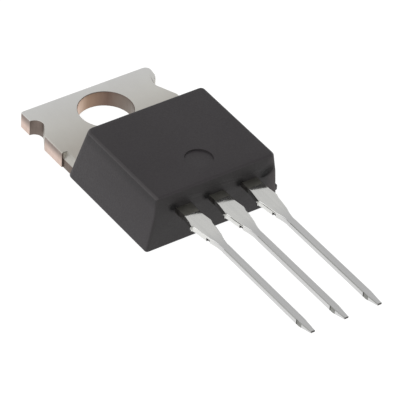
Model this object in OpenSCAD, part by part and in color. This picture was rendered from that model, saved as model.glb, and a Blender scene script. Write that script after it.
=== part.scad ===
// Power transistor in a flat three-lead package with a heat-sink tab.
// It lies on its back. Z = 0 is the tab's back face, the moulded front faces +Z,
// the tab points to +Y and the leads to -Y. The origin is the centre of the
// mounting hole, on the back face. All sizes are in millimetres.

/* [Package] */
// Height from the tab's back to the moulded front
package_h = 4.25; // [4.1:0.05:4.7]
// Length of the moulding, from the tab's front face to the parting line
mould_len = 9.25; // [8.6:0.05:9.6]
// How far the moulding stands out past the tab on each side
mould_side = 0.08; // [0.02:0.01:0.3]
// Slope of the moulding's long sides from the vertical, in degrees
side_draft = 7.5; // [3:0.5:10]
// Slope of the moulding's tab-side face, in degrees
rear_draft = 15; // [5:1:20]
// Slope of the lead-side face away from its parting line, in degrees
front_draft = 4; // [1:0.5:7]
// Radius of the moulding's upright corners
mould_corner_r = 0.25; // [0.2:0.05:0.8]
// Radius round the edge of the moulding's front
mould_edge_r = 0.2; // [0.1:0.02:0.2]
// Diameter of the ejector mark in the front
dimple_d = 1.9; // [1:0.1:3]
// Depth of the ejector mark
dimple_depth = 0.12; // [0.05:0.01:0.3]
// Distance from the ejector mark's centre to the lead-side face
dimple_to_front = 2.15; // [1.8:0.05:4]

/* [Tab] */
// Width of the tab across its sheared sides
tab_w = 10.1; // [9.7:0.05:10.6]
// Thickness of the tab and the die pad
tab_t = 1.2; // [1.1:0.05:1.4]
// Diameter of the mounting hole
hole_d = 3.8; // [3.5:0.05:4]
// Distance from the hole's centre to the tab's free end
hole_to_end = 2.62; // [2.5:0.02:3]
// Distance from the hole's centre to the moulding, at the tab's front face
hole_to_mould = 3.55; // [3.4:0.05:4.2]
// Radius of the free corners
tab_corner_r = 0.2; // [0.1:0.05:1.2]
// Length of each ear, from the free end to its notch
ear_len = 1.2; // [1:0.05:1.6]
// Depth of the side notches
notch_depth = 0.62; // [0.5:0.02:0.9]
// Radius of the notch floor
notch_r = 0.6; // [0.3:0.05:0.6]
// Angle between the notch's sloping exit and the tab's side, in degrees
notch_exit = 30; // [25:1:40]
// Length of the stamped neck between the sheared side and the moulding
neck_len = 1.05; // [0.5:0.05:1.1]
// How far the neck is set in from the sheared side
neck_step = 0.12; // [0.05:0.01:0.3]
// Width of the coined slope along the neck's top edges
coin_w = 0.3; // [0.1:0.02:0.4]
// Depth of the coined slope
coin_h = 0.5; // [0.2:0.05:0.6]

/* [Die pad] */
// Width of the pad's top inside the moulding
pad_w = 8.6; // [7.6:0.1:9]
// Length of the pad inside the moulding
pad_len = 6.05; // [5.6:0.05:6.4]
// How much narrower the pad's back is on each side, which locks it in
pad_lock = 0.3; // [0.1:0.05:0.5]
// Depth of the groove across the pad that keeps damp out
groove_depth = 0.2; // [0.1:0.05:0.3]
// Width of the groove
groove_w = 0.4; // [0.2:0.05:0.5]
// Inside radius of the two bends in the drain lead
bend_r = 0.3; // [0.2:0.05:0.4]
// Slope of the drain lead between its bends, in degrees
bend_angle = 50; // [45:1:60]

/* [Leads] */
// Spacing of the leads
lead_pitch = 2.54; // [2.4:0.01:2.8]
// Height of the leads' underside above the tab's back
lead_rise = 2.58; // [2.4:0.01:2.9]
// Thickness of the leads
lead_t = 0.42; // [0.36:0.01:0.5]
// Length of the leads outside the moulding
lead_len = 14.1; // [12.7:0.1:14.7]
// Width of the thin part of a lead
lead_w = 0.48; // [0.4:0.02:0.9]
// Width of the shoulder next to the moulding
shoulder_w = 1.2; // [1.14:0.01:1.5]
// Length of the shoulder
shoulder_len = 2.65; // [2:0.05:3]
// Radius of the hollow curve from shoulder to thin part
waist_r = 4; // [1:0.5:6]
// How far the cut dam bar stands out from the shoulder
stub_out = 0.13; // [0.03:0.01:0.15]
// Length of the cut dam bar along the lead
stub_len = 0.6; // [0.4:0.05:1]
// Length over which the shoulder widens to the cut dam bar
stub_flare = 1; // [0.2:0.1:1]
// Length of the tapered tip
tip_len = 1.2; // [0.5:0.1:2]
// Width of the tip's end
tip_w = 0.24; // [0.1:0.02:0.4]
// How far the underside of the tip is cut back
tip_rise = 0.26; // [0.05:0.01:0.3]

/* [Wire posts] */
// Width of a wire post
post_w = 2.4; // [2:0.1:2.5]
// Length of a wire post
post_len = 2; // [1.6:0.1:2.1]
// Distance from a post to the lead-side face
post_inset = 0.35; // [0.3:0.05:0.6]
// Diameter of the locking hole in a post
lock_d = 0.7; // [0.4:0.05:0.8]

/* [Die and wires] */
// Width of the silicon die
die_w = 4.2; // [3:0.1:5]
// Length of the silicon die
die_l = 3.4; // [3:0.1:4]
// Thickness of the silicon die
die_t = 0.28; // [0.2:0.01:0.4]
// Thickness of the solder under the die
solder_t = 0.06; // [0.03:0.01:0.1]
// How far the solder shows round the die
solder_rim = 0.12; // [0.05:0.01:0.2]
// Diameter of the source wires
source_wire_d = 0.38; // [0.25:0.01:0.45]
// Diameter of the gate wire
gate_wire_d = 0.18; // [0.12:0.01:0.25]
// Spacing of the two source wires on the die
source_wire_gap = 0.9; // [0.8:0.05:1]

/* [Hidden] */
$fn = 64;
HULL_FN = 32;      // facets of the rounded corners that are hulled
SKIN = 0.01;       // thickness of the discs that the moulding is hulled from
PAST = 0.5;        // how far a cutting shape runs past what it cuts
SEAT = 0.3;        // how far a piece's own parts run into each other
WAIST_LAP = 0.05;  // how far the hollow curve runs into the cut dam bar
NECK_BURY = 0.3;   // how far the neck goes into the moulding
BEND_STEPS = 6;    // flats in each bend of the drain lead
WIRE_STEPS = 22;   // rings along a bond wire
WIRE_SIDES = 12;   // sides of a bond wire
LOOP_PEAK = 0.6;   // where along its way a wire loop is highest
FOOT_LEN = 2.6;    // length of a flattened wire foot, in wire diameters
FOOT_W = 1.35;     // width of a wire foot, in wire diameters
FOOT_T = 0.6;      // thickness of a wire foot, in wire diameters

mould_w = tab_w + 2 * mould_side;
mould_rear_y = -hole_to_mould;
mould_front_y = mould_rear_y - mould_len;
lead_top = lead_rise + lead_t;
parting_z = lead_rise + lead_t / 2;
front_slope = tan(front_draft);

tab_half = tab_w / 2;
neck_half = tab_half - neck_step;
neck_y = mould_rear_y + neck_len;
pad_end_y = mould_rear_y - pad_len;
notch_x = tab_half - notch_depth + notch_r;
notch_y = hole_to_end - ear_len - notch_r;
notch_tangent = [notch_x - notch_r * cos(notch_exit), notch_y - notch_r * sin(notch_exit)];
notch_out_x = tab_half + PAST;
notch_out_y = notch_tangent.y - (notch_out_x - notch_tangent.x) / tan(notch_exit);

waist_step = (shoulder_w - lead_w) / 2;
waist_len = sqrt(pow(waist_r, 2) - pow(waist_r - waist_step, 2));
thin_y = WAIST_LAP - shoulder_len - waist_len;

post_front_y = mould_front_y + post_inset;
post_rear_y = post_front_y + post_len;
post_x = lead_pitch + (post_w - shoulder_w) / 4;
post_foot_y = post_rear_y - FOOT_LEN * source_wire_d / 2 - 0.15;
lock_y = post_front_y + lock_d / 2 + 0.25;

die_y = (mould_rear_y + pad_end_y) / 2;
die_z = tab_t + solder_t;
die_top = die_z + die_t;
loop_top = (lead_top + package_h) / 2;
source_foot = [die_w / 8, die_y - die_l / 12];
gate_foot = [-die_w / 2 + 0.6, die_y - die_l / 2 + 0.5];

// Half-width of the moulding at height z
function mould_half(z) = mould_w / 2 - z * tan(side_draft);
// Place of the tab-side face at height z
function rear_y(z) = mould_rear_y - (z - tab_t) * tan(rear_draft);
// Place of the lead-side face at height z
function front_y(z) = mould_front_y + abs(z - parting_z) * front_slope;
// Points of an arc about c, from angle a0 to a1
function arc(c, r, a0, a1, n) = [for (i = [0:n]) let (a = a0 + (a1 - a0) * i / n) c + r * [cos(a), sin(a)]];

// Two round corners of the moulding at height z, at the rear (side 1) or the front (side -1)
module mould_corners(z, side) {
    y = side > 0 ? rear_y(z) - mould_corner_r : front_y(z) + mould_corner_r;
    for (s = [-1, 1])
        translate([s * (mould_half(z) - mould_corner_r), y, z])
            children();
}

// Solid moulding, before anything is let into it
module mould_block() {
    edge_z = package_h - mould_edge_r;
    hull() {
        mould_corners(0, 1) cylinder(r = mould_corner_r, h = SKIN, $fn = HULL_FN);
        mould_corners(0, -1) cylinder(r = mould_corner_r, h = SKIN, $fn = HULL_FN);
        mould_corners(parting_z, -1) cylinder(r = mould_corner_r, h = SKIN, $fn = HULL_FN);
        for (side = [-1, 1])
            mould_corners(edge_z, side)
                rotate_extrude($fn = HULL_FN)
                    intersection() {
                        translate([mould_corner_r - mould_edge_r, 0])
                            circle(r = mould_edge_r, $fn = HULL_FN);
                        translate([0, -mould_edge_r]) square([mould_corner_r, 2 * mould_edge_r]);
                    }
    }
}

// Epoxy moulding, cast round everything that is inside it
module mould_body() color([0.17, 0.17, 0.18]) {
    difference() {
        mould_block();
        translate([0, mould_front_y + dimple_to_front, package_h - dimple_depth])
            cylinder(d = dimple_d, h = dimple_depth + PAST);
        drain_frame();
        gate_lead();
        source_lead();
        die_solder();
        silicon_die();
        gate_wire();
        source_wire_1();
        source_wire_2();
    }
}

// One side notch of the tab, on the +X side: square entry, round floor, sloping exit
module notch_2d() {
    translate([notch_x, notch_y]) circle(r = notch_r);
    polygon([
        [notch_x, notch_y + notch_r],
        [notch_x, notch_y],
        notch_tangent,
        [notch_out_x, notch_out_y],
        [notch_out_x, notch_y + notch_r],
    ]);
}

// Plan of the tab, with its round free corners, side notches and neck
module tab_2d() {
    difference() {
        union() {
            translate([-tab_half, neck_y])
                square([tab_w, hole_to_end - tab_corner_r - neck_y]);
            translate([-tab_half + tab_corner_r, neck_y])
                square([tab_w - 2 * tab_corner_r, hole_to_end - neck_y]);
            for (s = [-1, 1])
                translate([s * (tab_half - tab_corner_r), hole_to_end - tab_corner_r])
                    circle(r = tab_corner_r);
            translate([-neck_half, mould_rear_y - NECK_BURY])
                square([2 * neck_half, neck_len + NECK_BURY + SEAT]);
        }
        notch_2d();
        mirror([1, 0]) notch_2d();
    }
}

// Section of the die pad across the package: wider at the top than at the back
module pad_section_2d() {
    polygon([
        [-pad_w / 2 + pad_lock, 0],
        [pad_w / 2 - pad_lock, 0],
        [pad_w / 2, tab_t],
        [-pad_w / 2, tab_t],
    ]);
}

// Side view of the drain lead where it is bent up from the pad to the other leads
module drain_bend_2d() {
    rise = bend_r * 2 + lead_t;
    run = (rise * cos(bend_angle) + lead_top - tab_t - rise) / sin(bend_angle);
    low = [pad_end_y - SEAT, tab_t + bend_r];
    high = low - rise * [sin(bend_angle), cos(bend_angle)] - run * [cos(bend_angle), -sin(bend_angle)];
    polygon(concat(
        [[mould_front_y, lead_top]],
        arc(high, bend_r + lead_t, 90, 90 - bend_angle, BEND_STEPS),
        arc(low, bend_r, 270 - bend_angle, 270, BEND_STEPS),
        [[pad_end_y + SEAT, tab_t], [pad_end_y + SEAT, tab_t - lead_t]],
        arc(low, bend_r + lead_t, 270, 270 - bend_angle, BEND_STEPS),
        arc(high, bend_r, 90 - bend_angle, 90, BEND_STEPS),
        [[mould_front_y, lead_rise]]
    ));
}

// Plan of a lead outside the moulding, from its root at y = 0 towards -Y
module lead_2d() {
    translate([-shoulder_w / 2, -shoulder_len]) square([shoulder_w, shoulder_len]);
    for (s = [-1, 1])
        polygon([
            [0, stub_len + stub_flare - shoulder_len],
            [s * shoulder_w / 2, stub_len + stub_flare - shoulder_len],
            [s * (shoulder_w / 2 + stub_out), stub_len - shoulder_len],
            [s * (shoulder_w / 2 + stub_out), -shoulder_len],
            [0, -shoulder_len],
        ]);
    difference() {
        translate([-shoulder_w / 2, thin_y]) square([shoulder_w, waist_len]);
        for (s = [-1, 1])
            translate([s * (lead_w / 2 + waist_r), thin_y]) circle(r = waist_r, $fn = 128);
    }
    polygon([
        [-lead_w / 2, thin_y],
        [-lead_w / 2, tip_len - lead_len],
        [-tip_w / 2, -lead_len],
        [tip_w / 2, -lead_len],
        [lead_w / 2, tip_len - lead_len],
        [lead_w / 2, thin_y],
    ]);
}

// A lead outside the moulding at place x, with the underside of its tip cut back
module lead_outside(x) {
    difference() {
        translate([x, mould_front_y, lead_rise]) linear_extrude(lead_t) lead_2d();
        translate([x - shoulder_w, mould_front_y - lead_len, lead_rise])
            rotate([90, 0, 90])
                linear_extrude(2 * shoulder_w)
                    polygon([[-PAST, -PAST], [tip_len, -PAST], [tip_len, 0], [0, tip_rise], [-PAST, tip_rise]]);
    }
}

// Heat-sink tab, die pad and middle lead, stamped and bent from one copper strip
module drain_frame() color([0.74, 0.74, 0.72]) {
    difference() {
        union() {
            linear_extrude(tab_t) tab_2d();
            translate([0, mould_rear_y, 0])
                rotate([90, 0, 0])
                    linear_extrude(pad_len) pad_section_2d();
            translate([-shoulder_w / 2, 0, 0])
                rotate([90, 0, 90])
                    linear_extrude(shoulder_w) drain_bend_2d();
            lead_outside(0);
        }
        translate([0, 0, -PAST]) cylinder(d = hole_d, h = tab_t + 2 * PAST);
        // Coined slope along both top edges of the neck
        for (s = [0, 1])
            mirror([s, 0, 0])
                translate([neck_half - coin_w, neck_y, tab_t])
                    rotate([90, 0, 0])
                        linear_extrude(neck_len + NECK_BURY + PAST)
                            polygon([[0, 0], [coin_w, -coin_h], [coin_w + PAST, -coin_h], [coin_w + PAST, PAST], [0, PAST]]);
        // Groove across the pad, just inside the moulding
        translate([-tab_w / 2 - PAST, mould_rear_y - NECK_BURY - groove_w, tab_t])
            rotate([90, 0, 90])
                linear_extrude(tab_w + 2 * PAST)
                    polygon([[-groove_w / 2, 0], [0, -groove_depth], [groove_w / 2, 0], [0, PAST]]);
    }
}

// Lead with a flat wire post inside the moulding; side is -1 or 1
module post_lead(side) {
    lead_outside(side * lead_pitch);
    translate([0, 0, lead_rise])
        linear_extrude(lead_t)
            difference() {
                union() {
                    translate([side * lead_pitch - shoulder_w / 2, mould_front_y])
                        square([shoulder_w, post_inset + SEAT]);
                    translate([side * post_x - post_w / 2, post_front_y])
                        square([post_w, post_len]);
                }
                translate([side * lead_pitch, lock_y]) circle(d = lock_d);
            }
}

module gate_lead() color([0.78, 0.78, 0.76]) post_lead(-1);

module source_lead() color([0.76, 0.77, 0.75]) post_lead(1);

// Solder that holds the die to the pad
module die_solder() color([0.62, 0.62, 0.64])
    translate([-die_w / 2 - solder_rim, die_y - die_l / 2 - solder_rim, tab_t])
        cube([die_w + 2 * solder_rim, die_l + 2 * solder_rim, solder_t]);

module silicon_die() color([0.35, 0.37, 0.45])
    translate([-die_w / 2, die_y - die_l / 2, die_z])
        cube([die_w, die_l, die_t]);

// Height of a wire's middle at share t of its way from height za to zb
function loop_z(t, za, zb) =
    t < LOOP_PEAK
        ? za + (loop_top - za) * (1 - cos(180 * t / LOOP_PEAK)) / 2
        : zb + (loop_top - zb) * (1 + cos(180 * (t - LOOP_PEAK) / (1 - LOOP_PEAK))) / 2;

// Flattened foot of a wire on the surface at height z, pointing along angle
module wire_foot(p, z, angle, d) {
    straight = (FOOT_LEN - FOOT_W) * d;
    translate([p.x, p.y, z])
        rotate([0, 0, angle])
            linear_extrude(FOOT_T * d) {
                translate([-straight / 2, -FOOT_W * d / 2]) square([straight, FOOT_W * d]);
                for (s = [-1, 1]) translate([s * straight / 2, 0]) circle(d = FOOT_W * d);
            }
}

// Bond wire of diameter d, looped from point a on the die to point b on a post
module bond_wire(a, b, d) {
    za = die_top + d / 2;
    zb = lead_top + d / 2;
    reach = norm(b - a);
    along = (b - a) / reach;
    angle = atan2(along.y, along.x);
    function middle(t) = [t * reach, loop_z(t, za, zb)];
    rings = [for (i = [0:WIRE_STEPS])
        let (
            t = i / WIRE_STEPS,
            step = middle(t + 0.001) - middle(t - 0.001),
            lean = i == 0 || i == WIRE_STEPS ? 0 : atan2(step.y, step.x)
        )
        for (k = [0:WIRE_SIDES - 1])
            let (
                turn = 360 * (k + 0.5) / WIRE_SIDES,
                up = d / 2 * cos(turn),
                out = d / 2 * sin(turn),
                m = middle(t)
            )
            [m.x - up * sin(lean), out, m.y + up * cos(lean)]];
    sides = [for (i = [0:WIRE_STEPS - 1], k = [0:WIRE_SIDES - 1])
        let (n = (k + 1) % WIRE_SIDES, r = i * WIRE_SIDES)
        [r + n, r + WIRE_SIDES + n, r + WIRE_SIDES + k, r + k]];
    first = [for (k = [WIRE_SIDES - 1:-1:0]) k];
    last = [for (k = [0:WIRE_SIDES - 1]) WIRE_STEPS * WIRE_SIDES + k];
    translate([a.x, a.y, 0])
        rotate([0, 0, angle])
            polyhedron(rings, concat([first], sides, [last]));
    wire_foot(a, die_top, angle, d);
    wire_foot(b, lead_top, angle, d);
}

module gate_wire() color([0.85, 0.85, 0.86])
    bond_wire(gate_foot, [-post_x, post_foot_y], gate_wire_d);

module source_wire_1() color([0.85, 0.85, 0.86])
    bond_wire(source_foot, [post_x - source_wire_gap / 2, post_foot_y], source_wire_d);

module source_wire_2() color([0.85, 0.85, 0.86])
    bond_wire(source_foot + [source_wire_gap, 0], [post_x + source_wire_gap / 2, post_foot_y], source_wire_d);

mould_body();
drain_frame();
gate_lead();
source_lead();
die_solder();
silicon_die();
gate_wire();
source_wire_1();
source_wire_2();
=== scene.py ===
import math

import bmesh
import bpy
from mathutils import Matrix, Quaternion, Vector


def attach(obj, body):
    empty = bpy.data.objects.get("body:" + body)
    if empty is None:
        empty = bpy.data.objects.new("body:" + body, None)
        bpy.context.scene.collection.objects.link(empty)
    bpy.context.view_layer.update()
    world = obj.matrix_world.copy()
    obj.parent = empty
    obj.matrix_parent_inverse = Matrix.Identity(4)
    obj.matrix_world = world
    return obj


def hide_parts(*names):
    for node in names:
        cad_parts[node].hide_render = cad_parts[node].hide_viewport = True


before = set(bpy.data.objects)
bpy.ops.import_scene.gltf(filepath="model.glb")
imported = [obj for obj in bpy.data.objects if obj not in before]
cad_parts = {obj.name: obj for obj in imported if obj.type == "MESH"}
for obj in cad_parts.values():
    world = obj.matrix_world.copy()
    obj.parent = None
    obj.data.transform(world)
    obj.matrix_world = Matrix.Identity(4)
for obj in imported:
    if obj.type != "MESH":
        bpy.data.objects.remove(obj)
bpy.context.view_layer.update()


# ------------------------------------------------------------ packshot table
# A sheet of white paper lit from below, a bright tent all round it and one broad
# soft box above. A long lens looks down on the lead side from the front left.
MM = 0.001  # a millimetre, in the frame's metres
CAMERA_AIM = Vector((-0.242, -11.395, 1.5)) * MM
CAMERA_AZIMUTH = math.radians(-36.738)
CAMERA_ELEVATION = math.radians(38.831)
CAMERA_ROLL = math.radians(3.946)
CAMERA_DISTANCE = 240.1 * MM
LENS_LENGTH = 336.7
SENSOR_WIDTH = 36
NEAREST_SEEN = 10 * MM

backwards = Vector((
    math.sin(CAMERA_AZIMUTH) * math.cos(CAMERA_ELEVATION),
    -math.cos(CAMERA_AZIMUTH) * math.cos(CAMERA_ELEVATION),
    math.sin(CAMERA_ELEVATION),
))
level_right = Vector((math.cos(CAMERA_AZIMUTH), math.sin(CAMERA_AZIMUTH), 0))
level_up = backwards.cross(level_right)
right = level_right * math.cos(CAMERA_ROLL) + level_up * math.sin(CAMERA_ROLL)
up = level_up * math.cos(CAMERA_ROLL) - level_right * math.sin(CAMERA_ROLL)

bpy.ops.object.camera_add(location=CAMERA_AIM + backwards * CAMERA_DISTANCE)
camera = bpy.context.object
camera.name = "packshot_camera"
camera.rotation_euler = Matrix((right, up, backwards)).transposed().to_euler()
camera.data.sensor_width = SENSOR_WIDTH
camera.data.lens = LENS_LENGTH
camera.data.clip_start = NEAREST_SEEN
bpy.context.scene.camera = camera

# The paper's width in metres, its own grey, its finish, and the light that comes through
PAPER_WIDTH = 6.0
PAPER_GREY = 0.2
PAPER_ROUGHNESS = 0.9
PAPER_GLOSS = 0.1
PAPER_GLOW = 0.93
bpy.ops.mesh.primitive_plane_add(size=PAPER_WIDTH)
paper_sheet = bpy.context.object
paper_sheet.name = "paper_sheet"
white_paper = bpy.data.materials.new("white_paper")
white_paper.use_nodes = True
paper_shader = white_paper.node_tree.nodes["Principled BSDF"]
paper_shader.inputs["Base Color"].default_value = (PAPER_GREY, PAPER_GREY, PAPER_GREY, 1)
paper_shader.inputs["Roughness"].default_value = PAPER_ROUGHNESS
paper_shader.inputs["Specular IOR Level"].default_value = PAPER_GLOSS
paper_shader.inputs["Emission Color"].default_value = (1, 1, 1, 1)
paper_shader.inputs["Emission Strength"].default_value = PAPER_GLOW
paper_sheet.data.materials.append(white_paper)

# Height in the tent, from straight down at 0 to straight up at 1, and its brightness
STRAIGHT_DOWN = -1
TENT_LEVELS = (
    (0.0, 0.9), (0.5, 0.92), (0.6, 0.85), (0.72, 0.76), (0.8, 0.72), (0.88, 0.74), (1.0, 0.6),
)
light_tent = bpy.data.worlds.new("light_tent")
light_tent.use_nodes = True
bpy.context.scene.world = light_tent
tent_nodes, tent_links = light_tent.node_tree.nodes, light_tent.node_tree.links
tent_way = tent_nodes.new("ShaderNodeTexCoord")
tent_split = tent_nodes.new("ShaderNodeSeparateXYZ")
tent_height = tent_nodes.new("ShaderNodeMapRange")
tent_height.inputs["From Min"].default_value = STRAIGHT_DOWN
tent_ramp = tent_nodes.new("ShaderNodeValToRGB")
tent_links.new(tent_way.outputs["Generated"], tent_split.inputs[0])
tent_links.new(tent_split.outputs["Z"], tent_height.inputs["Value"])
tent_links.new(tent_height.outputs["Result"], tent_ramp.inputs["Fac"])
tent_links.new(tent_ramp.outputs["Color"], tent_nodes["Background"].inputs["Color"])
tent_stops = tent_ramp.color_ramp.elements
tent_stops.remove(tent_stops[1])
for index, (height, brightness) in enumerate(TENT_LEVELS):
    stop = tent_stops[0] if index == 0 else tent_stops.new(height)
    stop.position = height
    stop.color = (brightness, brightness, brightness, 1)
tent_nodes["Background"].inputs["Strength"].default_value = 1.0

# The soft box's place and width in metres, and its power in watts
SOFT_BOX_PLACE = Vector((-0.32, 0.02, 0.3))
SOFT_BOX_WIDTH = 0.4
SOFT_BOX_POWER = 0.3
bpy.ops.object.light_add(type="AREA", location=SOFT_BOX_PLACE)
soft_box = bpy.context.object
soft_box.name = "soft_box"
soft_box.rotation_euler = SOFT_BOX_PLACE.to_track_quat("Z", "Y").to_euler()
soft_box.data.shape = "DISK"
soft_box.data.size = SOFT_BOX_WIDTH
soft_box.data.energy = SOFT_BOX_POWER
bpy.context.scene.view_settings.view_transform = "Standard"


# ------------------------------------------- heat-sink tab, pad and drain lead
# One stamping of copper strip, thick at the tab and thin at the middle lead. The
# strip is plated with tin before it is punched, so its walls are bare copper.
# The tie bars at the tab's sides are sheared off last, which rolls their top edge.

# Sizes in millimetres: y from the middle of the hole, z up from the back of the tab
TAB_HALF = 5.05
TAB_END_Y = 2.62
TAB_T = 1.2
HOLE_R = 1.9
NECK_HALF = 4.93
NECK_Y = -2.5
MOULD_REAR_Y = -3.55
MOULD_FRONT_Y = -12.8
LEAD_LOW = 2.58
LEAD_TOP = 3.0
LEAD_THIN_Y = -17.6
LEAD_END_Y = -26.9
# Places this close count as the same, and corners this close are merged into one
CLOSE = 0.01
MERGED = 0.001
# Two faces that turn less than the first angle are one flat face, and the edge between
# two that turn more than the second can be rounded, by a part of the widest round
FLAT_TURN = math.radians(0.3)
CORNER_TURN = math.radians(12)
WIDEST_ROUND = 0.5


def pick_up(piece):
    """Makes a piece the only one selected."""
    bpy.ops.object.select_all(action="DESELECT")
    piece.select_set(True)
    bpy.context.view_layer.objects.active = piece


def tidy_skin(piece):
    """Merges doubled corners and takes out the edges inside flat faces."""
    pick_up(piece)
    bpy.ops.mesh.customdata_custom_splitnormals_clear()
    bpy.ops.object.mode_set(mode="EDIT")
    bpy.ops.mesh.select_all(action="SELECT")
    bpy.ops.mesh.remove_doubles(threshold=MERGED * MM)
    bpy.ops.mesh.dissolve_limited(angle_limit=FLAT_TURN)
    bpy.ops.object.mode_set(mode="OBJECT")


def clean_copy(node, name):
    """Copies a solid as one closed skin of flat faces, with nothing on it yet."""
    piece = bpy.data.objects.new(name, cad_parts[node].data.copy())
    bpy.context.scene.collection.objects.link(piece)
    piece.data.materials.clear()
    tidy_skin(piece)
    return piece


def round_edges(piece, width_at, segments):
    """Rounds each edge by the width, in millimetres, that width_at gives for its ends."""
    sharp = bmesh.new()
    sharp.from_mesh(piece.data)
    layers = sharp.edges.layers.float
    weight = layers.get("bevel_weight_edge") or layers.new("bevel_weight_edge")
    for edge in sharp.edges:
        is_corner = edge.is_manifold and edge.calc_face_angle() > CORNER_TURN
        width = width_at([v.co / MM for v in edge.verts]) if is_corner else 0
        edge[weight] = width / WIDEST_ROUND
    sharp.to_mesh(piece.data)
    sharp.free()
    pick_up(piece)
    rounding = piece.modifiers.new("rounding", "BEVEL")
    rounding.limit_method = "WEIGHT"
    rounding.width = WIDEST_ROUND * MM
    rounding.segments = segments
    rounding.use_clamp_overlap = False
    bpy.ops.object.modifier_apply(modifier=rounding.name)


def add_block(name, low, high):
    """Adds a box between two corners, in millimetres."""
    middle = [(a + b) / 2 * MM for a, b in zip(low, high)]
    bpy.ops.mesh.primitive_cube_add(size=1, location=middle)
    piece = bpy.context.object
    piece.name = name
    piece.scale = [(b - a) * MM for a, b in zip(low, high)]
    bpy.ops.object.transform_apply(location=True, rotation=True, scale=True)
    return piece


def choose_corners(piece, test):
    """In edit mode, selects just the corners whose place in millimetres passes the test."""
    bpy.ops.mesh.select_mode(type="VERT")
    bpy.ops.mesh.select_all(action="DESELECT")
    skin = bmesh.from_edit_mesh(piece.data)
    for corner in skin.verts:
        corner.select_set(bool(test(corner.co / MM)))
    skin.select_flush_mode()
    bmesh.update_edit_mesh(piece.data)


def score(piece, axis, at, within=lambda p: True):
    """Divides a piece's faces across an axis, where their finish changes."""
    along = Vector((axis == "x", axis == "y", axis == "z"))
    pick_up(piece)
    bpy.ops.object.mode_set(mode="EDIT")
    choose_corners(piece, within)
    bpy.ops.mesh.bisect(plane_co=along * at * MM, plane_no=along)
    bpy.ops.object.mode_set(mode="OBJECT")


def work(piece, tool, operation="DIFFERENCE", keep_tool=False):
    """Cuts the shape of a tool out of a piece, or joins it on."""
    pick_up(piece)
    cut = piece.modifiers.new("cut", "BOOLEAN")
    cut.operation = operation
    cut.solver = "MANIFOLD"
    cut.object = tool
    bpy.ops.object.modifier_apply(modifier=cut.name)
    if not keep_tool:
        bpy.data.objects.remove(tool, do_unlink=True)


def smooth_skin(piece, even=True, angle=40):
    """Smooths the rounded edges of a piece; even also holds its broad faces flat."""
    pick_up(piece)
    bpy.ops.object.shade_smooth_by_angle(angle=math.radians(angle))
    if even:
        hold = piece.modifiers.new("hold_flat", "WEIGHTED_NORMAL")
        hold.keep_sharp = True
        bpy.ops.object.modifier_apply(modifier=hold.name)


def give_finishes(piece, finishes, finish_at):
    """Gives each face the finish that finish_at names for its middle and its normal."""
    piece.data.materials.clear()
    for finish in finishes:
        piece.data.materials.append(finish)
    names = [finish.name for finish in finishes]
    for face in piece.data.polygons:
        face.material_index = names.index(finish_at(face.center / MM, face.normal))


def new_finish(name, metallic):
    """Starts a material and returns it with its nodes, links, shader and place."""
    finish = bpy.data.materials.new(name)
    finish.use_nodes = True
    nodes, links = finish.node_tree.nodes, finish.node_tree.links
    shader = nodes["Principled BSDF"]
    shader.inputs["Metallic"].default_value = metallic
    place = nodes.new("ShaderNodeTexCoord").outputs["Object"]
    return finish, nodes, links, shader, place


# Most of a noise lies between these values
NOISE_LOW, NOISE_HIGH = 0.3, 0.7
NOISE_DETAIL = 3.0
EVEN = (1, 1, 1)


def speckle(nodes, links, place, spots, stretch=EVEN):
    """Adds a noise with so many spots to the metre; a stretch under 1 draws them out."""
    drawn = nodes.new("ShaderNodeMapping")
    drawn.inputs["Scale"].default_value = stretch
    noise = nodes.new("ShaderNodeTexNoise")
    noise.inputs["Scale"].default_value = spots
    noise.inputs["Detail"].default_value = NOISE_DETAIL
    links.new(place, drawn.inputs["Vector"])
    links.new(drawn.outputs["Vector"], noise.inputs["Vector"])
    return noise.outputs["Fac"]


def colour_between(nodes, links, source, stops):
    """Turns a value into colour along a ramp of (position, colour) stops."""
    ramp = nodes.new("ShaderNodeValToRGB")
    elements = ramp.color_ramp.elements
    elements.remove(elements[1])
    for index, (position, colour) in enumerate(stops):
        element = elements[0] if index == 0 else elements.new(position)
        element.position = position
        element.color = (*colour, 1)
    links.new(source, ramp.inputs["Fac"])
    return ramp.outputs["Color"]


def value_between(nodes, links, source, low, high, from_low=NOISE_LOW, from_high=NOISE_HIGH):
    """Turns a value, from from_low to from_high, into one from low to high."""
    spread = nodes.new("ShaderNodeMapRange")
    spread.inputs["From Min"].default_value = from_low
    spread.inputs["From Max"].default_value = from_high
    spread.inputs["To Min"].default_value = low
    spread.inputs["To Max"].default_value = high
    links.new(source, spread.inputs["Value"])
    return spread.outputs["Result"]


def roughen(nodes, links, shader, source, strength, depth):
    """Raises the surface by the noise: depth is in millimetres."""
    bump = nodes.new("ShaderNodeBump")
    bump.inputs["Strength"].default_value = strength
    bump.inputs["Distance"].default_value = depth * MM
    links.new(source, bump.inputs["Height"])
    links.new(bump.outputs["Normal"], shader.inputs["Normal"])


def tint_along(nodes, links, place, colour, axis, start, end, tints):
    """Darkens a colour along an axis, by the tints at stops of a range in millimetres."""
    split = nodes.new("ShaderNodeSeparateXYZ")
    links.new(place, split.inputs[0])
    along = value_between(nodes, links, split.outputs[axis], 0.0, 1.0, start * MM, end * MM)
    tinted = nodes.new("ShaderNodeMix")
    tinted.data_type = "RGBA"
    tinted.blend_type = "MULTIPLY"
    tinted.inputs["Factor"].default_value = 1.0
    links.new(colour, tinted.inputs["A"])
    links.new(colour_between(nodes, links, along, tints), tinted.inputs["B"])
    return tinted.outputs["Result"]


# The grain of a metal: how many times finer it is than its clouds, and how deep
GRAIN_FINER = 9
GRAIN_DEPTH = 0.02


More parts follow.
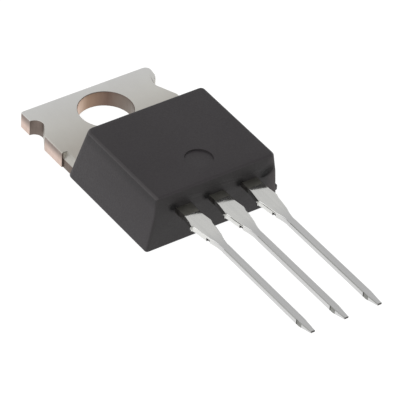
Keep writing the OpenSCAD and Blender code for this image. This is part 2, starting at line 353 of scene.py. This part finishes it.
def metal(name, dark, pale, smooth, rough, spots, stretch=EVEN, grain=0.15, tint_and_shade=None):
    """A metal that varies between two colours and two roughnesses, with a grain."""
    finish, nodes, links, shader, place = new_finish(name, 1.0)
    cloud = speckle(nodes, links, place, spots, stretch)
    colour = colour_between(nodes, links, cloud, ((NOISE_LOW, dark), (NOISE_HIGH, pale)))
    # tint_and_shade tints the colour along an axis; on the hole's wall it is painted light and
    # shade
    if tint_and_shade:
        colour = tint_along(nodes, links, place, colour, *tint_and_shade)
    links.new(colour, shader.inputs["Base Color"])
    fine = speckle(nodes, links, place, spots * GRAIN_FINER, stretch)
    links.new(value_between(nodes, links, fine, smooth, rough), shader.inputs["Roughness"])
    roughen(nodes, links, shader, fine, grain, GRAIN_DEPTH)
    return finish


# Torn copper: its streaks, its colours, how rough it is, how strong and deep the tear
# is, and the brown of its top edge, which comes in between two heights
TORN_STREAKS = 2600
TORN_STRETCH = (1, 1, 0.08)
TORN_COLOURS = ((NOISE_LOW, (0.56, 0.42, 0.35)), (NOISE_HIGH, (0.72, 0.58, 0.52)))
TORN_ROUGHNESS = (0.28, 0.5)
TEAR_STRENGTH = 0.35
TEAR_DEPTH = 0.03
TOP_BROWN = (0.27, 0.215, 0.19, 1)
BROWN_FROM, BROWN_TO = 0.45 * MM, 0.95 * MM


def sheared_copper():
    """Bare copper torn by the shear: streaked upright, browner near its top edge."""
    finish, nodes, links, shader, place = new_finish("sheared_copper", 1.0)
    streak = speckle(nodes, links, place, TORN_STREAKS, TORN_STRETCH)
    fresh = colour_between(nodes, links, streak, TORN_COLOURS)
    split = nodes.new("ShaderNodeSeparateXYZ")
    links.new(place, split.inputs[0])
    near_top = value_between(nodes, links, split.outputs["Z"], 0.0, 1.0, BROWN_FROM, BROWN_TO)
    browned = nodes.new("ShaderNodeMix")
    browned.data_type = "RGBA"
    links.new(near_top, browned.inputs["Factor"])
    links.new(fresh, browned.inputs["A"])
    browned.inputs["B"].default_value = TOP_BROWN
    links.new(browned.outputs["Result"], shader.inputs["Base Color"])
    rough = value_between(nodes, links, streak, *TORN_ROUGHNESS)
    links.new(rough, shader.inputs["Roughness"])
    roughen(nodes, links, shader, streak, TEAR_STRENGTH, TEAR_DEPTH)
    return finish


# How three finishes are tinted: the axis, from and to where, then tints from start to end.
# The tab grows darker and browner towards the moulding, the hole's wall carries painted light
# and shade, lit bright copper at -X and shaded dark at +X, and the leads are a little greyer
# beyond their shoulders.
TAB_TINT = ("Y", -2.6, 2.6, (
    (0.0, (0.69, 0.655, 0.605)),
    (0.5, (0.87, 0.855, 0.82)),
    (1.0, (0.95, 0.95, 0.95)),
))
# Painted light and shade across the hole's wall: lit at -X, shaded at +X
HOLE_PAINTED_LIGHT = ("X", -HOLE_R, HOLE_R, (
    (0.0, (1.0, 1.0, 1.0)),
    (0.22, (0.9, 0.88, 0.85)),
    (0.45, (0.46, 0.42, 0.38)),
    (0.8, (0.24, 0.22, 0.22)),
    (1.0, (0.30, 0.34, 0.37)),
))
LEAD_TARNISH = ("Y", -17.4, -15.8, (
    (0.0, (0.82, 0.82, 0.83)),
    (1.0, (1.0, 1.0, 0.985)),
))
# Spots drawn out along the rolled strip, along a lead's edges, along the tin that ran
# on it, and up a cut wall
ROLLED = (1, 0.6, 1)
DRAWN_ALONG = (1, 0.1, 1)
RUN_ALONG = (1, 0.04, 1)
UP_WALL = (1, 1, 0.3)

tin_plate = metal(
    "tin_plate", (0.75, 0.745, 0.73), (0.785, 0.783, 0.767), 0.36, 0.44, 420,
    stretch=ROLLED, grain=0.08, tint_and_shade=TAB_TINT,
)
pressed_tin = metal("pressed_tin", (0.46, 0.445, 0.41), (0.52, 0.505, 0.47), 0.4, 0.5, 900)
# The hole's wall, with painted light and shade along x
punched_copper = metal(
    "punched_copper", (0.66, 0.48, 0.38), (0.72, 0.54, 0.43), 0.3, 0.42, 700,
    stretch=UP_WALL, grain=0.12, tint_and_shade=HOLE_PAINTED_LIGHT,
)
# Bare copper darkened by painted shade, on the hole's top rim and the walls of the notches,
# neck and step
copper_in_painted_shade = metal(
    "copper_in_painted_shade", (0.165, 0.135, 0.118), (0.225, 0.18, 0.155), 0.4, 0.55, 900,
    stretch=UP_WALL, grain=0.2,
)
dipped_tin = metal(
    "dipped_tin", (0.695, 0.695, 0.685), (0.755, 0.753, 0.74), 0.1, 0.16, 4200,
    stretch=RUN_ALONG, grain=0.06, tint_and_shade=LEAD_TARNISH,
)
# Painted shade: a thin dark line on the rounding between a lead's top and its -X side
edge_painted_shade = metal(
    "edge_painted_shade", (0.38, 0.385, 0.37), (0.48, 0.48, 0.465), 0.2, 0.3, 2500,
    stretch=DRAWN_ALONG,
)
# Painted reflection: the moulding's dark end mirrored in the top of each lead's root
root_painted_reflection = metal(
    "root_painted_reflection", (0.15, 0.147, 0.13), (0.20, 0.195, 0.175), 0.45, 0.6, 2500, grain=0.2,
)
# Dark cut copper: the real colour of the cut lead tips, and painted shade on the roots' sides
# and in the waist nicks
cut_end = metal(
    "cut_end", (0.05, 0.047, 0.044), (0.11, 0.103, 0.097), 0.4, 0.6, 2500, grain=0.3,
)
# Grey tin: painted shade on the shoulders' cut sides, and the grey of the nick near the tip
dulled_tin = metal(
    "dulled_tin", (0.19, 0.19, 0.178), (0.27, 0.27, 0.255), 0.3, 0.45, 2500, grain=0.2,
)
sheared_bar = sheared_copper()
LEAD_FINISHES = (dipped_tin, edge_painted_shade, root_painted_reflection, cut_end, dulled_tin)


# What the shear and the tip cutter leave beside a lead: nicks to cut out, then the
# burr to join on, each as near and far from the lead's middle, then y and z from-to
TRIM_NICKS = (
    (0.66, 0.95, -14.90, -14.80, 2.92, 3.1, "dipped_tin"),
    (0.34, 0.60, -16.40, -16.09, 2.5, 2.86, "cut_end"),
    (0.225, 0.50, -26.02, -25.50, 2.5, 3.1, "dulled_tin"),
)
BAR_BURR = (0.6, 0.81, -14.88, -14.70, 2.66, 2.84)
# A face whose normal has this much along an axis faces that way squarely
SQUARE_ON = 0.9
# How near a nick's inner wall a face has to be to take the nick's finish
NICK_WALL = (-0.05, 0.12)
# The top of the shear's cut, above which its sides get painted shade, and where along the lead
# it made it
SHEAR_MARK_Z = 2.87
SHEAR_MARK_Y = (-16.1, -15.35)
# The bead at the start of the tin: how far past the dip line its crest stands, how
# high, how far the bead runs out along the lead, and half its width
BEAD_LIP = 0.06
BEAD_RISE = 0.08
BEAD_RUN = 0.75
BEAD_HALF = 0.7
# How the punch drew each lead out, in steps: the corners that moved, by y from-to and
# how near and far from the lead's middle, then how far they went out and along
LEAD_DRAWING = (
    (-15.46, -15.44, 0.70, 0.76, -0.11, 0.20),
    (-15.46, -15.44, 0.55, 0.60, 0.0, -0.20),
    (-17.10, -15.47, 0.20, 0.57, 0.0, -0.62),
    (-25.75, -17.60, 0.20, 0.26, 0.025, 0.0),
    (-26.95, -26.85, 0.10, 0.14, 0.045, 0.0),
)
# Where a lead's rounding starts, then the rounding of its level edges, of the others
# and of its cut tip
ROUNDED_FROM_Y = MOULD_FRONT_Y + 0.3
LEAD_ROUND = 0.085
LEAD_CORNER_ROUND = 0.03
TIP_ROUND = 0.02


def add_bead(piece, middle, dip_y):
    """Raises the bead that the tin leaves on top of a lead where the dip began."""
    crest_y = dip_y - BEAD_LIP
    for y in (dip_y, crest_y, dip_y - BEAD_RUN):
        score(piece, "y", y)
    bpy.ops.object.mode_set(mode="EDIT")
    choose_corners(
        piece,
        lambda p: (
            abs(p.y - crest_y) < MERGED
            and abs(p.x - middle) < BEAD_HALF
            and p.z > LEAD_TOP - CLOSE
        ),
    )
    bpy.ops.transform.translate(value=(0, 0, BEAD_RISE * MM))
    bpy.ops.object.mode_set(mode="OBJECT")


def draw_lead(piece, middle):
    """Moves a lead's corners as the punch drew them."""
    pick_up(piece)
    bpy.ops.object.mode_set(mode="EDIT")
    for y_from, y_to, near, far, outward, along in LEAD_DRAWING:
        for side in (-1, 1):
            choose_corners(
                piece,
                lambda p: y_from < p.y < y_to and near < (p.x - middle) * side < far,
            )
            bpy.ops.transform.translate(value=(side * outward * MM, along * MM, 0))
    bpy.ops.object.mode_set(mode="OBJECT")


def block_beside(name, middle, near, far, y_from, y_to, z_from, z_to):
    """Adds a box on the side of a lead that the shear bore on, -X."""
    return add_block(name, (middle - far, y_from, z_from), (middle - near, y_to, z_to))


def mark_trimming(piece, middle):
    """Cuts the nicks out of a lead and joins the burr on."""
    for *nick, _ in TRIM_NICKS:
        work(piece, block_beside("nick", middle, *nick))
    work(piece, block_beside("burr", middle, *BAR_BURR), "UNION")
    tidy_skin(piece)


def lead_round(points):
    """Width of the rounding on a lead's edges, outside the moulding."""
    if all(p.y > ROUNDED_FROM_Y for p in points):
        return 0
    if all(p.y < LEAD_END_Y + CLOSE for p in points):
        return TIP_ROUND
    level = abs(points[0].z - points[1].z) < CLOSE
    return LEAD_ROUND if level else LEAD_CORNER_ROUND


def lead_finish(place, normal, middle, dip_y):
    """Finish of a lead's face outside the moulding; the tin starts at dip_y, and before it the
    root carries a painted reflection of the moulding's end.
    """
    if place.y > dip_y:
        # The root's sides get painted shade, its top a painted reflection of the moulding
        on_side = abs(normal.x) > 0.5
        return "cut_end" if on_side else "root_painted_reflection"
    on_tip = place.y < LEAD_END_Y + 0.05 and normal.y < -SQUARE_ON
    if on_tip:
        return "cut_end"
    for near, _, y_from, y_to, _, z_to, finish in TRIM_NICKS:
        from_wall = middle - place.x - near
        in_nick = NICK_WALL[0] < from_wall < NICK_WALL[1] and place.z < z_to
        if in_nick and y_from - CLOSE < place.y < y_to + CLOSE and abs(normal.z) < SQUARE_ON:
            return finish
    # Painted shade on the upper part of the shoulders' cut sides, on the middle and source
    # leads but not on the gate lead
    shoulder_shade = middle >= 0 and place.z > SHEAR_MARK_Z
    upright = abs(normal.x) > 0.3 and abs(normal.z) < 0.7
    if shoulder_shade and SHEAR_MARK_Y[0] < place.y < SHEAR_MARK_Y[1] and upright:
        return "dulled_tin"
    # The upper -X rounding of the thin part is painted dark
    on_upper_slope = normal.x < 0 and 0.25 < normal.z < 0.95
    if place.y < LEAD_THIN_Y and on_upper_slope:
        return "edge_painted_shade"
    return "dipped_tin"


# How the punch wore the far side of the tab: the corners by x and y from-to, then how
# far they moved; then from what x and y the far corner runs, and how many times wider
# its rounding was worn
EAR_WEAR = (
    (5.04, 5.06, 1.40, 1.44, -0.09, 0.14),
    (5.02, 5.04, 1.40, 1.44, -0.14, -0.01),
    (4.90, 4.98, 1.40, 1.42, -0.12, -0.10),
    (4.80, 4.90, 1.38, 1.40, -0.08, -0.17),
    (4.60, 4.80, 1.24, 1.38, -0.04, -0.20),
    (4.49, 4.60, 1.10, 1.21, -0.06, -0.17),
    (4.42, 4.49, 0.75, 1.05, -0.09, -0.12),
    (4.42, 4.52, 0.50, 0.70, -0.09, -0.18),
    (5.04, 5.06, -0.43, -0.40, 0.0, -0.62),
)
FAR_CORNER_FROM = (4.84, 2.41)
FAR_CORNER_WIDENED = 2.2
# From where to where the notches in the tab's sides run: their rims, then their walls
NOTCH_RIM_Y = (-1.1, 1.43)
NOTCH_WALL_Y = (-1.1, 1.5)
# The corners of the neck, which the punch coined: from what x out, and how far along
COINED_X = 4.6
COINED_RUN = 1.2
# Rounding of the tab's rims: the hole's, the notches' and the neck's, then the rest of
# the front, then the back
RIM_ROUND = 0.05
TAB_ROUND = 0.12
TAB_BACK_ROUND = 0.035
# Along the stamping: where the tab's rounding ends, from where the moulding covers it,
# where the middle lead starts, for its rounding and for its finishes, and its tin
TAB_ROUNDED_Y = MOULD_REAR_Y + 0.2
COVERED_Y = MOULD_REAR_Y - 0.4
DRAIN_ROUNDED_Y = MOULD_FRONT_Y + 0.6
DRAIN_LEAD_Y = MOULD_FRONT_Y + 0.4
DRAIN_DIP_Y = -13.46


def frame_round(points):
    """Width of the rounding on the drain stamping's edges."""
    if all(p.y < DRAIN_ROUNDED_Y for p in points):
        return lead_round(points)
    if any(p.y < TAB_ROUNDED_Y for p in points):
        return 0
    on_top = all(abs(p.z - TAB_T) < CLOSE for p in points)
    on_back = all(abs(p.z) < CLOSE for p in points)
    if all(math.hypot(p.x, p.y) < HOLE_R + CLOSE for p in points):
        return RIM_ROUND if on_top or on_back else 0
    in_notch = all(
        abs(p.x) < TAB_HALF + CLOSE and NOTCH_RIM_Y[0] < p.y < NOTCH_RIM_Y[1] for p in points
    )
    on_neck = all(p.y < NECK_Y + CLOSE for p in points)
    if on_top:
        return RIM_ROUND if in_notch or on_neck else TAB_ROUND
    return TAB_BACK_ROUND if on_back else 0


def frame_finish(place, normal):
    """Finish of each face of the drain stamping, from where it stands."""
    if place.y < DRAIN_LEAD_Y and place.z > LEAD_LOW - 0.05:
        return lead_finish(place, normal, 0, DRAIN_DIP_Y)
    coined = (
        COINED_X < abs(place.x) < NECK_HALF + CLOSE
        and NECK_Y - COINED_RUN < place.y < NECK_Y + 2 * CLOSE
    )
    faces_up, faces_mould = normal.z > 0.3, normal.y < -SQUARE_ON
    if coined and (faces_up or faces_mould):
        return "pressed_tin" if faces_up else "tin_plate"
    in_hole = math.hypot(place.x, place.y) < HOLE_R + RIM_ROUND + CLOSE
    if in_hole and -0.1 < normal.z < 0.98:
        # The hole's top rim is painted in shade
        on_rim = normal.z > 0.1
        return "copper_in_painted_shade" if on_rim else "punched_copper"
    if abs(normal.z) > 0.6 or place.y < COVERED_Y:
        return "tin_plate"
    if abs(place.x) > TAB_HALF - 0.1 and abs(normal.x) > SQUARE_ON:
        return "sheared_copper"
    # One wall of each notch takes the pressed tin; the others are bare copper darkened by
    # painted shade
    tin_wall = normal.y < -0.3 if place.x > 4.2 else normal.y > 0.25
    in_notch = NOTCH_WALL_Y[0] < place.y < NOTCH_WALL_Y[1]
    return "pressed_tin" if tin_wall and in_notch else "copper_in_painted_shade"


drain_frame = clean_copy("drain_frame", "drain_stamping")
score(drain_frame, "y", DRAIN_LEAD_Y)
draw_lead(drain_frame, 0)
pick_up(drain_frame)
bpy.ops.object.mode_set(mode="EDIT")
for x_from, x_to, y_from, y_to, outward, along in EAR_WEAR:
    choose_corners(drain_frame, lambda p: x_from < p.x < x_to and y_from < p.y < y_to)
    bpy.ops.transform.translate(value=(outward * MM, along * MM, 0))
choose_corners(drain_frame, lambda p: p.x > FAR_CORNER_FROM[0] and p.y > FAR_CORNER_FROM[1])
bpy.ops.transform.resize(
    value=(FAR_CORNER_WIDENED, FAR_CORNER_WIDENED, 1),
    center_override=(TAB_HALF * MM, TAB_END_Y * MM, 0),
)
bpy.ops.object.mode_set(mode="OBJECT")
round_edges(drain_frame, frame_round, segments=4)
mark_trimming(drain_frame, 0)
score(drain_frame, "y", DRAIN_LEAD_Y)
score(drain_frame, "z", SHEAR_MARK_Z)
for side in (-1, 1):
    score(
        drain_frame, "x", side * NECK_HALF,
        lambda p: p.x * side > COINED_X - 0.1 and abs(p.y - NECK_Y) < CLOSE,
    )
add_bead(drain_frame, 0, DRAIN_DIP_Y)
give_finishes(
    drain_frame,
    (tin_plate, pressed_tin, sheared_bar, punched_copper, copper_in_painted_shade) + LEAD_FINISHES,
    frame_finish,
)
smooth_skin(drain_frame)
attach(drain_frame, "root")
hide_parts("drain_frame")


# --------------------------------------------------- gate and source leads
# Two flat stampings from the same strip, each with a wide wire post inside the
# moulding. They are dipped in solder-bright tin after the moulding, once the bar
# that tied the three leads together has been cut out between their shoulders.
# The leads' dark roots by the moulding are a painted reflection of the moulding's end
LEAD_PITCH = 2.54
GATE_DIP_Y = -13.72
SOURCE_DIP_Y = -13.52
for node, side, dip_y in (("gate_lead", -1, GATE_DIP_Y), ("source_lead", 1, SOURCE_DIP_Y)):
    middle = side * LEAD_PITCH
    lead = clean_copy(node, node.replace("lead", "stamping"))
    draw_lead(lead, middle)
    round_edges(lead, lead_round, segments=3)
    mark_trimming(lead, middle)
    score(lead, "z", SHEAR_MARK_Z)
    add_bead(lead, middle, dip_y)
    give_finishes(
        lead,
        LEAD_FINISHES,
        lambda place, normal: lead_finish(place, normal, middle, dip_y),
    )
    smooth_skin(lead)
    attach(lead, "root")
    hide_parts(node)


# ------------------------------------------------------- die, solder and wires
# A silicon chip soldered to the pad, with one thin aluminium wire to the gate
# post and two thick ones to the source post. The moulding hides all of them.
SILICON_COLOURS = ((0.35, (0.09, 0.10, 0.15)), (0.65, (0.16, 0.17, 0.24)))
SILICON_SPOTS = 700
SILICON_ROUGHNESS = 0.2
sawn_silicon, nodes, links, shader, place = new_finish("sawn_silicon", 0.0)
facets = speckle(nodes, links, place, SILICON_SPOTS)
links.new(colour_between(nodes, links, facets, SILICON_COLOURS), shader.inputs["Base Color"])
shader.inputs["Roughness"].default_value = SILICON_ROUGHNESS
soft_solder = metal("soft_solder", (0.42, 0.42, 0.43), (0.58, 0.58, 0.59), 0.3, 0.45, 1500)
bond_aluminium = metal(
    "bond_aluminium", (0.80, 0.80, 0.81), (0.88, 0.88, 0.89), 0.22, 0.34, 2500,
)
for node, finish in (
    ("silicon_die", sawn_silicon),
    ("die_solder", soft_solder),
    ("gate_wire", bond_aluminium),
    ("source_wire_1", bond_aluminium),
    ("source_wire_2", bond_aluminium),
):
    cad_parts[node].data.materials.clear()
    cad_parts[node].data.materials.append(finish)


# ------------------------------------------------------------------- moulding
# Black epoxy filled with fine silica, cast round the stampings in a two-part
# mould. Every wall leans so that it comes out, the lead end both ways from the
# leads, and the ejector pin leaves a shallow mark in its front.
MOULD_T = 4.25
MOULD_HALF = 5.13
PARTING_Z = 2.79
SIDE_LEAN = math.tan(math.radians(7.5))
REAR_LEAN = math.tan(math.radians(15))
FRONT_LEAN = math.tan(math.radians(4))


def mould_half(z):
    """Half the width of the moulding at a height."""
    return MOULD_HALF - z * SIDE_LEAN


def rear_y(z):
    """Where the end over the tab stands at a height."""
    return MOULD_REAR_Y - (z - TAB_T) * REAR_LEAN


def front_y(z):
    """Where the lead end stands at a height."""
    return MOULD_FRONT_Y + abs(z - PARTING_Z) * FRONT_LEAN


bpy.ops.object.select_all(action="DESELECT")
moulding = add_block(
    "epoxy_moulding", (-MOULD_HALF, MOULD_FRONT_Y, 0), (MOULD_HALF, MOULD_REAR_Y, MOULD_T),
)
bpy.ops.object.mode_set(mode="EDIT")
bpy.ops.mesh.select_all(action="SELECT")
bpy.ops.mesh.bisect(plane_co=(0, 0, PARTING_Z * MM), plane_no=(0, 0, 1))
for height in (0, PARTING_Z, MOULD_T):
    for side in (-1, 1):
        for end, wanted_y in ((MOULD_REAR_Y, rear_y(height)), (MOULD_FRONT_Y, front_y(height))):
            choose_corners(
                moulding,
                lambda p: (
                    abs(p.z - height) < CLOSE and p.x * side > 0 and abs(p.y - end) < CLOSE
                ),
            )
            lean = (side * (mould_half(height) - MOULD_HALF), wanted_y - end, 0)
            bpy.ops.transform.translate(value=[step * MM for step in lean])
bpy.ops.object.mode_set(mode="OBJECT")

# Radii of the upright corners, by whether they are at +X and whether at the tab, then
# of the edges round the front and the back
CORNER_ROUNDS = {
    (False, False): 0.2,
    (True, False): 0.34,
    (False, True): 0.5,
    (True, True): 0.3,
}
FRONT_EDGE_ROUND = 0.19
BACK_EDGE_ROUND = 0.06
UPRIGHT = 0.5
MOULD_MIDDLE_Y = (MOULD_REAR_Y + MOULD_FRONT_Y) / 2


def upright_round(points):
    """Width of the rounding on the corners that run from the back to the front."""
    if abs(points[0].z - points[1].z) < UPRIGHT:
        return 0
    middle = (points[0] + points[1]) / 2
    return CORNER_ROUNDS[(middle.x > 0, middle.y > MOULD_MIDDLE_Y)]


def rim_round(points):
    """Width of the rounding on the edges round the front and the back."""
    if all(p.z > MOULD_T - CLOSE for p in points):
        return FRONT_EDGE_ROUND
    return BACK_EDGE_ROUND if all(p.z < CLOSE for p in points) else 0


round_edges(moulding, upright_round, segments=5)
round_edges(moulding, rim_round, segments=5)

# The stub of the gate that the epoxy came in by, broken off at the +X side
GATE_STUB = ((4.6, -12.6, 1.0), (5.04, -12.0, 1.45))
GATE_STUB_ROUND = 0.1
gate_stub = add_block("gate_stub", *GATE_STUB)
round_edges(gate_stub, lambda points: GATE_STUB_ROUND, segments=3)
work(moulding, gate_stub, "UNION")

# The pin's mark, cut with a cone so that its wall leans out; the pin stood a little
# askew, turned by an angle about a slanting axis
EJECTOR_X, EJECTOR_Y = 0.06, -10.57
EJECTOR_R = 0.95
EJECTOR_LEAN = 0.01
EJECTOR_DEPTH = 0.07
EJECTOR_ASKEW = Quaternion((0.8, -0.6, 0), math.radians(-3))
bpy.ops.mesh.primitive_cone_add(
    vertices=96,
    radius1=(EJECTOR_R - EJECTOR_LEAN) * MM,
    radius2=(EJECTOR_R + EJECTOR_LEAN) * MM,
    depth=2 * EJECTOR_DEPTH * MM,
    location=(EJECTOR_X * MM, EJECTOR_Y * MM, MOULD_T * MM),
    rotation=EJECTOR_ASKEW.to_euler(),
)
ejector_pin = bpy.context.object
bpy.ops.object.transform_apply(location=True, rotation=True, scale=True)
work(moulding, ejector_pin)

# Hollows in the lead end, where the epoxy shrank, which matt_epoxy also fills with painted
# shade: middle x, z, then half sizes and turn
SINK_MARKS = (
    (-3.30, 3.14, 0.30, 0.24, 30),
    (-0.74, 3.06, 0.30, 0.24, 30),
    (1.80, 3.06, 0.30, 0.24, 30),
    (3.92, 3.10, 0.55, 0.28, -28),
)
SINK_DEPTH = 0.05
for middle_x, middle_z, half_long, half_high, turn in SINK_MARKS:
    bpy.ops.mesh.primitive_uv_sphere_add(
        segments=48,
        ring_count=24,
        radius=1,
        location=(middle_x * MM, front_y(middle_z) * MM, middle_z * MM),
    )
    sink = bpy.context.object
    sink.scale = (half_long * MM, SINK_DEPTH * MM, half_high * MM)
    sink.rotation_euler.y = math.radians(turn)
    bpy.ops.object.transform_apply(location=True, rotation=True, scale=True)
    work(moulding, sink)
for stamping in ("drain_stamping", "gate_stamping", "source_stamping"):
    work(moulding, bpy.data.objects[stamping], keep_tool=True)
for node in ("die_solder", "silicon_die", "gate_wire", "source_wire_1", "source_wire_2"):
    work(moulding, clean_copy(node, node + "_room"))


# Epoxy's clouds and its sparkle, in spots to the metre; how much its roughness varies;
# how strong and deep the sparkle is; and the painted shade in a sink, which fades between
# two distances from its middle, as parts of its size, and reaches so far through the face
CLOUD_SPOTS = 350
SPARKLE_SPOTS = 9000
ROUGHNESS_SPREAD = 0.07
SPARKLE_STRENGTH = 0.14
SPARKLE_DEPTH = 0.02
SINK_PAINTED_SHADE = (0.003, 0.0025, 0.0025, 1)
SINK_FADE = (0.6, 1.7)
SINK_REACH = 2


def cast_epoxy(name, dark, pale, gloss, rough, painted_light_tint, sinks=()):
    """Epoxy clouded by its filler, with the mould's fine sparkle, and painted shade in its
    sinks.
    """
    finish, nodes, links, shader, place = new_finish(name, 0.0)
    cloud = speckle(nodes, links, place, CLOUD_SPOTS)
    colour = colour_between(nodes, links, cloud, ((NOISE_LOW, dark), (NOISE_HIGH, pale)))
    # painted_light_tint multiplies painted light and shade in along one axis
    colour = tint_along(nodes, links, place, colour, *painted_light_tint)
    # Painted shade, near black, in each sink
    for middle_x, middle_z, half_long, half_high, turn in sinks:
        from_sink = nodes.new("ShaderNodeMapping")
        from_sink.vector_type = "TEXTURE"
        middle = (middle_x, front_y(middle_z), middle_z)
        half_sizes = (half_long, SINK_REACH, half_high)
        from_sink.inputs["Location"].default_value = [step * MM for step in middle]
        from_sink.inputs["Rotation"].default_value = (0, math.radians(turn), 0)
        from_sink.inputs["Scale"].default_value = [step * MM for step in half_sizes]
        away = nodes.new("ShaderNodeVectorMath")
        away.operation = "LENGTH"
        links.new(place, from_sink.inputs["Vector"])
        links.new(from_sink.outputs["Vector"], away.inputs[0])
        shaded = nodes.new("ShaderNodeMix")
        shaded.data_type = "RGBA"
        fade = value_between(nodes, links, away.outputs["Value"], 0.0, 1.0, *SINK_FADE)
        links.new(fade, shaded.inputs["Factor"])
        shaded.inputs["A"].default_value = SINK_PAINTED_SHADE
        links.new(colour, shaded.inputs["B"])
        colour = shaded.outputs["Result"]
    links.new(colour, shader.inputs["Base Color"])
    sparks = speckle(nodes, links, place, SPARKLE_SPOTS)
    sparkle = value_between(
        nodes, links, sparks, rough - ROUGHNESS_SPREAD, rough + ROUGHNESS_SPREAD,
    )
    links.new(sparkle, shader.inputs["Roughness"])
    roughen(nodes, links, shader, sparks, SPARKLE_STRENGTH, SPARKLE_DEPTH)
    shader.inputs["Specular IOR Level"].default_value = gloss
    return finish


# Painted light on the epoxy: a painted shade band on the sides below the long edges, a
# painted highlight on the long edges that fades towards the tab, and painted shade over the
# lead end, which is paler at its +X corner
UNTINTED = (1, 1, 1)
# Painted shade: a darker band just below the long edges
SIDE_SHADE = ("Z", 3.3, MOULD_T, (
    (0.0, UNTINTED),
    (0.55, (0.6, 0.6, 0.6)),
    (0.8, (0.6, 0.6, 0.6)),
    (0.88, UNTINTED),
))
EDGE_SHADE = ("Y", MOULD_FRONT_Y, MOULD_REAR_Y, ((0.0, UNTINTED), (1.0, (0.8, 0.8, 0.8))))
# Painted shade over the lead end, lifting towards its +X corner
END_SHADE = ("X", 3.9, 4.5, ((0.0, (0.526, 0.571, 0.571)), (1.0, UNTINTED)))
black_epoxy = cast_epoxy(
    "black_epoxy", (0.0275, 0.0235, 0.026), (0.0315, 0.027, 0.0295), 0.4, 0.57, SIDE_SHADE,
)
# Painted highlight on the long edges' rounding, fading towards the tab
edge_highlight_epoxy = cast_epoxy(
    "edge_highlight_epoxy", (0.042, 0.037, 0.039), (0.048, 0.042, 0.0445), 0.45, 0.5, EDGE_SHADE,
)
# The lead end's epoxy, under painted shade and with painted shade in its sinks
matt_epoxy = cast_epoxy(
    "matt_epoxy", (0.0494, 0.042, 0.0429), (0.0589, 0.0499, 0.0508), 0.3, 0.65, END_SHADE,
    SINK_MARKS,
)


# How far the lead end's matt skin reaches round it, and from what x the long edges lie
END_BAND = 0.6
LONG_EDGE_X = 4


def mould_finish(place, normal):
    """The lead end is matt, the rest a little smoother, and the long edges get a painted
    highlight.
    """
    faces_out = normal.z < 0.5 and abs(normal.x) < 0.75
    if place.y < MOULD_FRONT_Y + END_BAND and faces_out:
        return "matt_epoxy"
    on_long_edge = place.z > MOULD_T - FRONT_EDGE_ROUND and abs(place.x) > LONG_EDGE_X
    slopes_sideways = 0.2 < normal.z < 0.97 and abs(normal.x) > 0.2
    return "edge_highlight_epoxy" if on_long_edge and slopes_sideways else "black_epoxy"


tidy_skin(moulding)
give_finishes(moulding, (black_epoxy, edge_highlight_epoxy, matt_epoxy), mould_finish)
smooth_skin(moulding, even=False, angle=35)
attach(moulding, "root")
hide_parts("mould_body")
